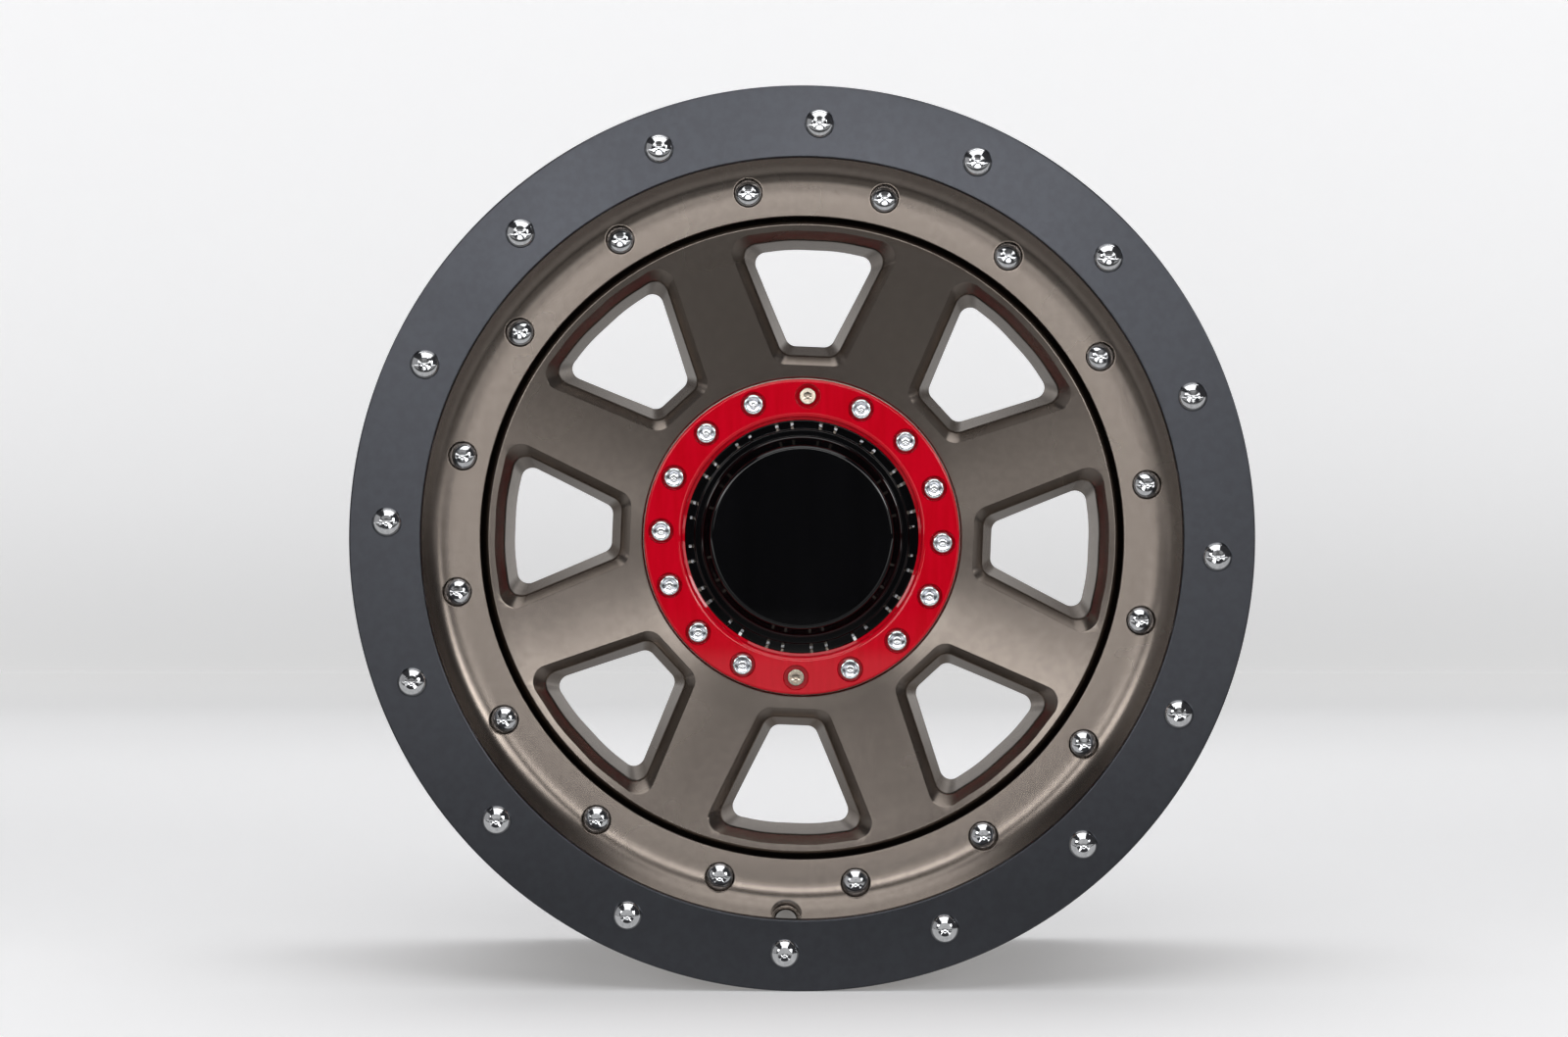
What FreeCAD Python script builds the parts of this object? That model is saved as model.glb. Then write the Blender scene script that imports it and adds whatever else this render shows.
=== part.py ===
import FreeCAD, Part
import math
import os
import Sketcher
from FreeCAD import Placement, Rotation, Vector

# A 17 by 9 inch cast alloy wheel with a screwed trim ring, a screwed hub ring and a snap-in cap.
# Frame: the origin is the centre of the mounting face, the wheel spins about Y, its front looks
# towards -Y and +Z is up. In the sketches depth is counted back from the front of the trim ring.

doc = FreeCAD.newDocument("alloy_wheel")

# Driving dimensions, in millimetres and degrees
driving_sizes = [
    ("rest_turn_angle", 2.4),
    # rim
    ("rim_width", 228.6),
    ("bead_diameter", 436.6),
    ("wheel_offset", 18),
    ("flange_height", 17.3),
    ("flange_curl", 5),
    ("flange_reach", 13),
    ("flange_wall", 6),
    ("front_flange_thickness", 14),
    ("bead_seat_width", 21),
    ("bead_seat_fall", 1.9),
    ("hump_rise", 1.2),
    ("hump_flank", 3),
    ("well_drop", 22.3),
    ("well_width", 34),
    ("well_front_slope", 15),
    ("well_rear_slope", 18),
    ("well_wall", 6),
    ("barrel_drop", 5.9),
    ("barrel_rear_slope", 9),
    ("barrel_wall", 4.8),
    ("barrel_seat_wall", 5.5),
    ("barrel_seat_taper", 38),
    # face
    ("trim_ring_thickness", 8),
    ("trim_ring_width", 37.3),
    ("trim_ring_overhang", 1),
    ("trim_ring_edge", 1.2),
    ("lip_width", 30.8),
    ("lip_slope_width", 14.5),
    ("lip_fold_depth", 16.6),
    ("lip_foot_depth", 21),
    ("groove_width", 2.85),
    ("groove_depth", 3.2),
    ("groove_soft_edge", 1.5),
    ("dish_depth", 26),
    ("spoke_thickness", 22),
    ("spoke_back_rim_depth", 38),
    ("spoke_root_width", 18),
    ("spoke_root_blend", 14),
    # windows
    ("window_count", 8),
    ("window_rim_land", 6.75),
    ("window_hub_land", 6.5),
    ("window_bottom_half_width", 12.62),
    ("window_top_flat_angle", 10),
    ("window_flank_angle", 25.3),
    ("window_corner", 8),
    ("window_top_draft_angle", 6.8),
    ("window_bottom_draft_angle", 8.5),
    ("window_flank_draft_angle", 6.2),
    ("window_bevel", 5.2),
    ("window_overrun", 2),
    # screws of the trim ring and bolts of the lip
    ("bolt_count", 16),
    ("trim_bolt_inset", 19.6),
    ("lip_bolt_inset", 16.5),
    ("bolt_radius", 4),
    ("bolt_head_radius", 7.7),
    ("bolt_head_height", 4.4),
    ("bolt_reach", 10),
    ("tap_depth", 1.4),
    ("thread_clearance", 0.05),
    ("bolt_hole_clearance", 0.4),
    ("lip_recess_clearance", 0.35),
    ("lip_bolt_height", 4.6),
    ("lip_recess_depth", 20.2),
    # hub
    ("hub_bore_diameter", 106.1),
    ("hub_bore_chamfer", 1.5),
    ("lug_count", 6),
    ("lug_circle", 139.7),
    ("lug_hole_radius", 7.5),
    ("lug_pocket_wall", 3.3),
    ("lug_pad_thickness", 15),
    ("mounting_pad_wall", 4.65),
    ("pad_relief_inset", 1.5),
    ("pad_relief_depth", 24),
    # valve hole
    ("valve_inset", 2.7),
    ("valve_depth", 25),
    ("valve_tilt_angle", 20),
    ("valve_hole_radius", 5.65),
    ("valve_wall", 8),
    ("valve_spotface_margin", 2.45),
    ("valve_relief_margin", 1.85),
    ("valve_cut_reach", 42),
    # hub ring with its studs and screws
    ("hub_ring_bore_gap", 0.9),
    ("hub_ring_width", 20.1),
    ("hub_ring_thickness", 8),
    ("hub_ring_sink", 5),
    ("hub_ring_gap", 0.6),
    ("hub_ring_outer_edge", 1.4),
    ("hub_ring_inner_edge", 2.6),
    ("hub_ring_head_count", 16),
    ("hub_ring_head_inset", 9),
    ("hub_ring_recess_radius", 6.5),
    ("stud_recess_depth", 2),
    ("stud_radius", 5.4),
    ("stud_height", 3.4),
    ("screw_recess_depth", 3.6),
    ("screw_head_radius", 4.5),
    ("screw_head_height", 2.8),
    ("screw_radius", 2.5),
    ("screw_reach", 10),
    # cap
    ("cap_pocket_diameter", 125),
    ("cap_pocket_depth", 18),
    ("cap_crown_width", 8.9),
    ("cap_side_width", 5.2),
    ("cap_face_depth", 10),
    ("cap_face_edge", 1.6),
    ("cap_wall", 2.4),
    ("cap_rim_depth", 3),
    ("cap_rim_bead", 1),
    ("cap_crown_depth", 2),
    ("cap_crown_thickness", 2.2),
    ("cap_finger_wall", 2),
    ("cap_finger_length", 13),
    ("cap_finger_clearance", 0.2),
    ("cap_finger_count", 16),
    ("cap_slot_width", 1.6),
    ("cap_slot_angle", 3.9),
    ("cap_slot_depth", 5.1),
    ("spring_thickness", 1.2),
    ("spring_width", 3),
    ("spring_gap_angle", 14),
    ("spring_clearance", 0.05),
]

sheet = doc.addObject("Spreadsheet::Sheet", "Sizes")
for row, (alias, number) in enumerate(driving_sizes, start=1):
    sheet.set("A%d" % row, alias)
    sheet.set("B%d" % row, str(number))
    sheet.setAlias("B%d" % row, alias)
doc.recompute()


# A size is a number together with the sheet formula that gives it: the sketches are drawn from
# the number and then bound to the formula.
class Size:
    def __init__(self, number, formula):
        self.number = float(number)
        self.formula = formula

    def __add__(self, other):
        other = as_size(other)
        return Size(self.number + other.number, "(%s + %s)" % (self.formula, other.formula))

    def __sub__(self, other):
        other = as_size(other)
        return Size(self.number - other.number, "(%s - %s)" % (self.formula, other.formula))

    def __mul__(self, other):
        other = as_size(other)
        return Size(self.number * other.number, "(%s * %s)" % (self.formula, other.formula))

    def __truediv__(self, other):
        other = as_size(other)
        return Size(self.number / other.number, "(%s / %s)" % (self.formula, other.formula))

    def __neg__(self):
        return Size(-self.number, "(-%s)" % self.formula)

    def tangent(self):
        return Size(math.tan(math.radians(self.number)), "tan(%s * 1 deg)" % self.formula)

    def sine(self):
        return Size(math.sin(math.radians(self.number)), "sin(%s * 1 deg)" % self.formula)

    def cosine(self):
        return Size(math.cos(math.radians(self.number)), "cos(%s * 1 deg)" % self.formula)


def as_size(value):
    if isinstance(value, Size):
        return value
    return Size(value, repr(float(value)))


def size(alias):
    return Size(sheet.get(alias), "Sizes.%s" % alias)


# Depths and radii that several pieces share
bead_radius = size("bead_diameter") / 2
flange_radius = bead_radius + size("flange_height")
casting_front = size("trim_ring_thickness")
front_flange = casting_front + size("front_flange_thickness")
rear_flange = front_flange + size("rim_width")
mounting_depth = front_flange + size("rim_width") / 2 - size("wheel_offset")
trim_ring_bore_radius = flange_radius - size("trim_ring_width")
lip_radius = trim_ring_bore_radius + size("trim_ring_overhang")
groove_radius = lip_radius - size("lip_width")
dish_rim_radius = groove_radius - size("groove_width") - size("groove_soft_edge")
dish_end_depth = size("lip_foot_depth") + size("dish_depth")
cap_pocket_radius = size("cap_pocket_diameter") / 2
hub_ring_bore_radius = cap_pocket_radius + size("hub_ring_bore_gap")
hub_ring_radius = hub_ring_bore_radius + size("hub_ring_width")
hub_ring_pocket_radius = hub_ring_radius + size("hub_ring_gap")
hub_ring_head_radius = hub_ring_radius - size("hub_ring_head_inset")
hub_ring_seat = dish_end_depth + size("hub_ring_sink")
hub_ring_front = hub_ring_seat - size("hub_ring_thickness")
stud_seat = hub_ring_front + size("stud_recess_depth")
screw_seat = hub_ring_front + size("screw_recess_depth")
cap_pocket_floor = hub_ring_seat + size("cap_pocket_depth")
finger_radius = cap_pocket_radius - size("cap_finger_clearance")
finger_inner_radius = finger_radius - size("cap_finger_wall")
crown_front = hub_ring_seat + size("cap_crown_depth")
finger_end = crown_front + size("cap_finger_length")
spoke_back_hub_depth = dish_end_depth + size("spoke_thickness")
lug_radius = size("lug_circle") / 2
hub_bore_radius = size("hub_bore_diameter") / 2
lug_pocket_radius = lug_radius - hub_bore_radius - size("lug_pocket_wall")
pad_radius = lug_radius + lug_pocket_radius + size("mounting_pad_wall")
trim_bolt_radius = flange_radius - size("trim_bolt_inset")
lip_bolt_radius = lip_radius - size("lip_bolt_inset")
tapped_radius = size("bolt_radius") + size("thread_clearance")
tapped_reach = size("bolt_reach") + size("tap_depth")
half_step = as_size(180) / size("bolt_count")
head_step = as_size(360) / size("hub_ring_head_count")
stud_count = size("hub_ring_head_count") / 2 - 1
stud_sides = (as_size(0), as_size(180))

# A face looks a certain way when its normal has this share of it, and a point that is nearer to a
# surface than the tolerance lies on it
facing_share = 0.7
tolerance = 0.3


def new_body(label):
    body = doc.addObject("PartDesign::Body", label)
    body.Label = label
    body.AllowCompound = True
    body.Placement = Placement(Vector(0, 0, 0), Rotation(Vector(0, 1, 0), size("rest_turn_angle").number))
    body.setExpression("Placement.Rotation.Angle", size("rest_turn_angle").formula)
    return body


def origin_feature(body, role):
    for feature in body.Origin.OriginFeatures:
        if feature.Role == role:
            return feature
    raise ValueError(role)


def attach(sketch, plane_role, body, axis, angle, base):
    sketch.AttachmentSupport = [(origin_feature(body, plane_role), "")]
    sketch.MapMode = "FlatFace"
    angle = as_size(angle)
    sketch.AttachmentOffset = Placement(Vector(0, 0, 0), Rotation(axis, angle.number))
    for name, value in base.items():
        sketch.setExpression("AttachmentOffset.Base." + name, value.formula)
    if angle.number != 0:
        sketch.setExpression("AttachmentOffset.Rotation.Angle", angle.formula)


# A section sketch holds the wheel's axis: x is the radius and y is the depth. Its turn swings it
# about the wheel's axis.
def section_sketch(body, name, turn=0):
    sketch = body.newObject("Sketcher::SketchObject", name)
    attach(sketch, "XY_Plane", body, Vector(0, 1, 0), turn, {"y": -mounting_depth})
    return sketch


# A face sketch is seen from the front at a given depth: x is to the right and y is up.
def face_sketch(body, name, depth, turn=0):
    sketch = body.newObject("Sketcher::SketchObject", name)
    attach(sketch, "XZ_Plane", body, Vector(0, 0, 1), turn, {"z": mounting_depth - depth})
    return sketch


def bind(sketch, constraint, value):
    index = sketch.addConstraint(constraint)
    sketch.setExpression("Constraints[%d]" % index, value.formula)


# Draws a closed outline through corners given as (x, y)
def draw_outline(sketch, corners):
    corners = [(as_size(x), as_size(y)) for x, y in corners]
    first = sketch.GeometryCount
    for index, (x, y) in enumerate(corners):
        end_x, end_y = corners[(index + 1) % len(corners)]
        start, end = Vector(x.number, y.number, 0), Vector(end_x.number, end_y.number, 0)
        sketch.addGeometry(Part.LineSegment(start, end))
    for index, (x, y) in enumerate(corners):
        line = first + index
        following = first + (index + 1) % len(corners)
        sketch.addConstraint(Sketcher.Constraint("Coincident", line, 2, following, 1))
        bind(sketch, Sketcher.Constraint("DistanceX", line, 1, x.number), x)
        bind(sketch, Sketcher.Constraint("DistanceY", line, 1, y.number), y)


def draw_circle(sketch, x, y, radius):
    x, y, radius = as_size(x), as_size(y), as_size(radius)
    circle = Part.Circle(Vector(x.number, y.number, 0), Vector(0, 0, 1), radius.number)
    index = sketch.addGeometry(circle)
    bind(sketch, Sketcher.Constraint("DistanceX", index, 3, x.number), x)
    bind(sketch, Sketcher.Constraint("DistanceY", index, 3, y.number), y)
    bind(sketch, Sketcher.Constraint("Radius", index, radius.number), radius)


# A construction line parallel to the wheel's axis, or any other, to revolve round
def draw_axis(sketch, start, end):
    points = [(as_size(x), as_size(y)) for x, y in (start, end)]
    line = Part.LineSegment(*[Vector(x.number, y.number, 0) for x, y in points])
    index = sketch.addGeometry(line, True)
    for place, (x, y) in enumerate(points, start=1):
        bind(sketch, Sketcher.Constraint("DistanceX", index, place, x.number), x)
        bind(sketch, Sketcher.Constraint("DistanceY", index, place, y.number), y)


def revolve(body, name, sketch, kind="PartDesign::Revolution", axis="V_Axis", angle=360):
    feature = body.newObject(kind, name)
    feature.Profile = sketch
    feature.ReferenceAxis = (sketch, [axis])
    feature.setExpression("Angle", as_size(angle).formula)
    sketch.Visibility = False
    body.Tip = feature
    return feature


def pocket(body, name, sketch, depth, backwards=False):
    feature = body.newObject("PartDesign::Pocket", name)
    feature.Profile = sketch
    feature.setExpression("Length", as_size(depth).formula)
    feature.Reversed = backwards
    sketch.Visibility = False
    return feature


def polar(body, name, originals, count, angle=360):
    feature = body.newObject("PartDesign::PolarPattern", name)
    feature.Originals = originals
    feature.Axis = (origin_feature(body, "Y_Axis"), [""])
    feature.setExpression("Angle", as_size(angle).formula)
    feature.setExpression("Occurrences", as_size(count).formula)
    body.Tip = feature
    return feature


# A draft, fillet or chamfer finds its faces and edges only once its base has a shape, so it is
# worked out twice
def settle(body, feature):
    body.Tip = feature
    doc.recompute()
    feature.touch()
    doc.recompute()
    return feature


def faces_where(feature, test):
    names = []
    for index, face in enumerate(feature.Shape.Faces, start=1):
        if test(face.normalAt(0, 0)):
            names.append("Face%d" % index)
    return names


def draft(body, name, base, angle, test):
    feature = body.newObject("PartDesign::Draft", name)
    feature.Base = (base, faces_where(base, test))
    feature.NeutralPlane = (base, faces_where(base, lambda normal: normal.y < -facing_share))
    feature.setExpression("Angle", angle.formula)
    return settle(body, feature)


# Section of the casting, revolved round the wheel's axis
def casting_section():
    seat_radius = bead_radius - size("bead_seat_fall")
    hump_radius = seat_radius + size("hump_rise")
    well = bead_radius - size("well_drop")
    well_inner = well - size("well_wall")
    barrel = seat_radius - size("barrel_drop")
    barrel_inner = barrel - size("barrel_wall")
    seat_inner = seat_radius - size("barrel_seat_wall")
    curl = size("flange_curl")
    wall = size("flange_wall")
    rear_end = rear_flange + size("flange_reach")
    front_hump = front_flange + size("bead_seat_width") + size("hump_flank")
    well_start = front_hump + size("well_front_slope")
    well_end = well_start + size("well_width")
    barrel_start = well_end + size("well_rear_slope")
    rear_hump = rear_flange - size("bead_seat_width") - size("hump_flank")
    groove_inner = groove_radius - size("groove_width")
    groove_floor = size("lip_foot_depth") + size("groove_depth")
    chamfer = size("hub_bore_chamfer")
    return [
        # front face of the flange and its curl
        (lip_radius, casting_front),
        (flange_radius, casting_front),
        (flange_radius, front_flange - curl),
        (flange_radius - curl, front_flange),
        # front bead seat, hump, well and barrel
        (bead_radius, front_flange),
        (seat_radius, front_hump - size("hump_flank")),
        (hump_radius, front_hump),
        (well, well_start),
        (well, well_end),
        (barrel, barrel_start),
        (barrel, rear_hump - size("barrel_rear_slope")),
        # rear hump, bead seat and flange
        (hump_radius, rear_hump),
        (seat_radius, rear_hump + size("hump_flank")),
        (bead_radius, rear_flange),
        (flange_radius - curl, rear_flange),
        (flange_radius, rear_flange + curl),
        (flange_radius, rear_end),
        (flange_radius - wall, rear_end),
        (flange_radius - wall - curl, rear_flange + wall),
        # inside of the barrel, from the rear to the spokes
        (seat_inner, rear_flange + wall),
        (barrel_inner, rear_flange - size("barrel_seat_taper")),
        (barrel_inner, barrel_start),
        (well_inner, well_end),
        (well_inner, size("spoke_back_rim_depth") + size("spoke_root_blend")),
        (well_inner - size("spoke_root_width"), size("spoke_back_rim_depth")),
        # back of the spokes, hub tower and mounting face
        (pad_radius, spoke_back_hub_depth),
        (pad_radius, mounting_depth),
        (hub_bore_radius + chamfer, mounting_depth),
        (hub_bore_radius, mounting_depth - chamfer),
        (hub_bore_radius, cap_pocket_floor),
        # cap pocket, seat of the hub ring and dished spoke face
        (cap_pocket_radius, cap_pocket_floor),
        (cap_pocket_radius, hub_ring_seat),
        (hub_ring_pocket_radius, hub_ring_seat),
        (hub_ring_pocket_radius, dish_end_depth),
        (dish_rim_radius, size("lip_foot_depth")),
        # groove and lip
        (groove_inner, size("lip_foot_depth") + size("groove_soft_edge")),
        (groove_inner, groove_floor),
        (groove_radius, groove_floor),
        (groove_radius, size("lip_foot_depth")),
        (lip_radius - size("lip_slope_width"), size("lip_fold_depth")),
    ]


# The form that the eight windows leave in the casting: three flats follow the rim along the top,
# the flanks spread outwards, every wall has draft and the four corners are round.
def make_window_cores():
    body = new_body("window_cores")
    top = dish_rim_radius - size("window_rim_land")
    bottom = hub_ring_pocket_radius + size("window_hub_land")
    angle = size("window_top_flat_angle")
    slope = size("window_flank_angle").tangent()
    low_x = size("window_bottom_half_width")
    lean = low_x - bottom * slope
    high_y = (top - lean * angle.sine()) / (slope * angle.sine() + angle.cosine())
    high_x = lean + high_y * slope
    flat_x = top * (angle / 2).tangent()
    outline = face_sketch(body, "window_outline", casting_front)
    draw_outline(outline, [
        (-low_x, bottom),
        (low_x, bottom),
        (high_x, high_y),
        (flat_x, top),
        (-flat_x, top),
        (-high_x, high_y),
    ])
    core = body.newObject("PartDesign::Pad", "core")
    core.Profile = outline
    core.Reversed = True
    core.setExpression("Length", (spoke_back_hub_depth - casting_front + size("window_overrun")).formula)
    body.Tip = core
    doc.recompute()
    core = draft(body, "top_draft", core, size("window_top_draft_angle"),
                 lambda normal: normal.z > facing_share)
    core = draft(body, "bottom_draft", core, size("window_bottom_draft_angle"),
                 lambda normal: normal.z < -facing_share)
    core = draft(body, "flank_draft", core, size("window_flank_draft_angle"),
                 lambda normal: abs(normal.x) > facing_share)
    # the corners that run back, without the two between the flats along the top
    corners = []
    middle_x, middle_z = (flat_x + high_x) / 2, (top + bottom) / 2
    for index, edge in enumerate(core.Shape.Edges, start=1):
        start, end = [vertex.Point for vertex in edge.Vertexes]
        runs_back = abs(start.y - end.y) > size("spoke_thickness").number
        between_flats = start.z > middle_z.number and abs(start.x) < middle_x.number
        if runs_back and not between_flats:
            corners.append("Edge%d" % index)
    fillet = body.newObject("PartDesign::Fillet", "corners")
    fillet.Base = (core, corners)
    fillet.setExpression("Radius", size("window_corner").formula)
    settle(body, fillet)
    cores = body.newObject("PartDesign::PolarPattern", "cores")
    cores.TransformMode = "Whole shape"
    cores.Axis = (origin_feature(body, "Y_Axis"), [""])
    cores.Angle = 360
    cores.setExpression("Occurrences", size("window_count").formula)
    body.Tip = cores
    doc.recompute()
    return body


# Front edges of the windows, where the dished face meets their walls
def window_front_edges(shape):
    names = []
    inner, outer = hub_ring_pocket_radius.number, dish_rim_radius.number
    for index, edge in enumerate(shape.Edges, start=1):
        middle = edge.valueAt((edge.FirstParameter + edge.LastParameter) / 2)
        radius = math.hypot(middle.x, middle.z)
        share = (outer - radius) / (outer - inner)
        depth = size("lip_foot_depth").number + share * size("dish_depth").number
        on_face = abs(middle.y + mounting_depth.number - depth) < tolerance
        if on_face and inner + tolerance < radius < outer - tolerance:
            names.append("Edge%d" % index)
    return names


def make_casting():
    cores = make_window_cores()
    body = new_body("wheel_casting")
    section = section_sketch(body, "casting_section")
    draw_outline(section, casting_section())
    revolve(body, "turned_form", section)

    windows = body.newObject("PartDesign::Boolean", "windows")
    windows.Type = "Cut"
    windows.setObjects([cores])
    body.Tip = windows
    doc.recompute()
    bevel = body.newObject("PartDesign::Chamfer", "window_bevels")
    bevel.Base = (windows, window_front_edges(windows.Shape))
    bevel.setExpression("Size", size("window_bevel").formula)
    settle(body, bevel)

    # tapped holes of the trim ring
    trim_hole = face_sketch(body, "trim_hole", casting_front)
    draw_circle(trim_hole, 0, trim_bolt_radius, tapped_radius)
    trim_hole_cut = pocket(body, "trim_hole_cut", trim_hole, tapped_reach)
    polar(body, "trim_holes", [trim_hole_cut], size("bolt_count"))

    # recesses of the lip bolts, half a step round
    recess = face_sketch(body, "lip_recess", 0, half_step)
    draw_circle(recess, 0, lip_bolt_radius, size("bolt_head_radius") + size("lip_recess_clearance"))
    recess_cut = pocket(body, "lip_recess_cut", recess, size("lip_recess_depth"))
    polar(body, "lip_recesses", [recess_cut], size("bolt_count"))

    # lug pockets behind the hub ring, each with a through hole
    lug_pad = mounting_depth - size("lug_pad_thickness")
    lug_pocket = face_sketch(body, "lug_pocket", hub_ring_seat, 90)
    draw_circle(lug_pocket, 0, lug_radius, lug_pocket_radius)
    lug_pocket_cut = pocket(body, "lug_pocket_cut", lug_pocket, lug_pad - hub_ring_seat)
    lug_hole = face_sketch(body, "lug_hole", lug_pad, 90)
    draw_circle(lug_hole, 0, lug_radius, size("lug_hole_radius"))
    lug_hole_cut = pocket(body, "lug_hole_cut", lug_hole, size("lug_pad_thickness"))
    polar(body, "lug_holes", [lug_pocket_cut, lug_hole_cut], size("lug_count"))

    # relief pockets in the mounting face, between the lug holes
    relief = face_sketch(body, "pad_relief", mounting_depth)
    draw_circle(relief, 0, lug_radius, lug_pocket_radius - size("pad_relief_inset"))
    relief_cut = pocket(body, "pad_relief_cut", relief, size("pad_relief_depth"), True)
    polar(body, "pad_reliefs", [relief_cut], size("lug_count"))

    # tapped holes of the two hub ring screws
    screw_hole = face_sketch(body, "screw_hole", hub_ring_seat)
    draw_circle(screw_hole, 0, hub_ring_head_radius, size("screw_radius") + size("thread_clearance"))
    screw_hole_cut = pocket(body, "screw_hole_cut", screw_hole, size("screw_reach") + size("tap_depth"))
    polar(body, "screw_holes", [screw_hole_cut], 2)
    make_valve_hole(body)
    return body


# The valve hole is drilled through the lip to the well, leaning outwards as it goes in. It has a
# spotface in front and a relief behind, with the valve's wall between them.
def make_valve_hole(body):
    sketch = section_sketch(body, "valve_section", 90)
    tilt = size("valve_tilt_angle")
    start_radius = trim_ring_bore_radius + size("valve_inset")

    def point(along, across):
        along, across = as_size(along), as_size(across)
        radius = start_radius + along * tilt.sine() + across * tilt.cosine()
        depth = size("valve_depth") + along * tilt.cosine() - across * tilt.sine()
        return (radius, depth)

    reach = size("valve_cut_reach")
    wall = size("valve_wall")
    hole = size("valve_hole_radius")
    spotface = hole + size("valve_spotface_margin")
    relief = hole + size("valve_relief_margin")
    draw_outline(sketch, [
        point(-reach, 0),
        point(-reach, spotface),
        point(0, spotface),
        point(0, hole),
        point(wall, hole),
        point(wall, relief),
        point(reach, relief),
        point(reach, 0),
    ])
    draw_axis(sketch, point(-reach, 0), point(reach, 0))
    revolve(body, "valve_hole", sketch, "PartDesign::Groove", "Axis0")


def make_trim_ring():
    body = new_body("trim_ring")
    section = section_sketch(body, "ring_section")
    edge = size("trim_ring_edge")
    draw_outline(section, [
        (trim_ring_bore_radius, edge),
        (trim_ring_bore_radius + edge, 0),
        (flange_radius - edge, 0),
        (flange_radius, edge),
        (flange_radius, casting_front),
        (trim_ring_bore_radius, casting_front),
    ])
    revolve(body, "ring", section)
    hole = face_sketch(body, "bolt_hole", 0)
    draw_circle(hole, 0, trim_bolt_radius, size("bolt_radius") + size("bolt_hole_clearance"))
    hole_cut = pocket(body, "bolt_hole_cut", hole, casting_front)
    polar(body, "bolt_holes", [hole_cut], size("bolt_count"))
    return body


# Sixteen screws hold the trim ring: their heads stand on its face
def make_trim_ring_bolts():
    body = new_body("trim_ring_bolts")
    section = section_sketch(body, "bolt_section", 90)
    head = trim_bolt_radius + size("bolt_head_radius")
    shank = trim_bolt_radius + size("bolt_radius")
    point = casting_front + size("bolt_reach")
    draw_outline(section, [
        (trim_bolt_radius, -size("bolt_head_height")),
        (head, -size("bolt_head_height")),
        (head, 0),
        (shank, 0),
        (shank, point),
        (trim_bolt_radius, point),
    ])
    draw_axis(section, (trim_bolt_radius, 0), (trim_bolt_radius, point))
    bolt = revolve(body, "bolt", section, axis="Axis0")
    polar(body, "bolts", [bolt], size("bolt_count"))
    return body


# Round studs of one height that stand on a seat, spaced round the wheel's axis
def add_studs(body, name, circle_radius, seat, radius, height, turn, count, angle):
    outline = face_sketch(body, name + "_outline", seat - height, turn)
    draw_circle(outline, 0, circle_radius, radius)
    stud = body.newObject("PartDesign::Pad", name)
    stud.Profile = outline
    stud.Reversed = True
    stud.setExpression("Length", height.formula)
    outline.Visibility = False
    polar(body, name + "s", [stud], count, angle)


# Sixteen dress bolts are pressed into the recesses of the lip
def make_lip_bolts():
    body = new_body("lip_bolts")
    add_studs(body, "lip_bolt", lip_bolt_radius, size("lip_recess_depth"), size("bolt_head_radius"),
              size("lip_bolt_height"), half_step, size("bolt_count"), 360)
    return body


def make_hub_ring():
    body = new_body("hub_ring")
    section = section_sketch(body, "ring_section")
    draw_outline(section, [
        (hub_ring_bore_radius, hub_ring_front + size("hub_ring_inner_edge")),
        (hub_ring_bore_radius + size("hub_ring_inner_edge"), hub_ring_front),
        (hub_ring_radius - size("hub_ring_outer_edge"), hub_ring_front),
        (hub_ring_radius, hub_ring_front + size("hub_ring_outer_edge")),
        (hub_ring_radius, hub_ring_seat),
        (hub_ring_bore_radius, hub_ring_seat),
    ])
    revolve(body, "ring", section)

    # shallow seats of the studs, on both sides between the two screws
    for side in stud_sides:
        seat = face_sketch(body, "stud_seat", hub_ring_front, side - head_step)
        draw_circle(seat, 0, hub_ring_head_radius, size("hub_ring_recess_radius"))
        seat_cut = pocket(body, "stud_seat_cut", seat, size("stud_recess_depth"))
        polar(body, "stud_seats", [seat_cut], stud_count, head_step * (stud_count - 1))

    # seats and clearance holes of the two screws
    recess = face_sketch(body, "screw_seat", hub_ring_front)
    draw_circle(recess, 0, hub_ring_head_radius, size("hub_ring_recess_radius"))
    recess_cut = pocket(body, "screw_seat_cut", recess, size("screw_recess_depth"))
    hole = face_sketch(body, "screw_hole", screw_seat)
    draw_circle(hole, 0, hub_ring_head_radius, size("screw_radius") + size("bolt_hole_clearance"))
    hole_cut = pocket(body, "screw_hole_cut", hole, hub_ring_seat - screw_seat)
    polar(body, "screw_seats", [recess_cut, hole_cut], 2)
    return body


# Fourteen studs stand in the shallow seats of the hub ring
def make_hub_ring_studs():
    body = new_body("hub_ring_studs")
    for side in stud_sides:
        add_studs(body, "stud", hub_ring_head_radius, stud_seat, size("stud_radius"),
                  size("stud_height"), side - head_step, stud_count, head_step * (stud_count - 1))
    return body


# The two screws that hold the hub ring, at its top and bottom
def make_hub_ring_screws():
    body = new_body("hub_ring_screws")
    section = section_sketch(body, "screw_section", 90)
    head_end = screw_seat - size("screw_head_height")
    point = hub_ring_seat + size("screw_reach")
    draw_outline(section, [
        (hub_ring_head_radius, head_end),
        (hub_ring_head_radius + size("screw_head_radius"), head_end),
        (hub_ring_head_radius + size("screw_head_radius"), screw_seat),
        (hub_ring_head_radius + size("screw_radius"), screw_seat),
        (hub_ring_head_radius + size("screw_radius"), point),
        (hub_ring_head_radius, point),
    ])
    draw_axis(section, (hub_ring_head_radius, head_end), (hub_ring_head_radius, point))
    screw = revolve(body, "screw", section, axis="Axis0")
    polar(body, "screws", [screw], 2)
    return body


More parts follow.
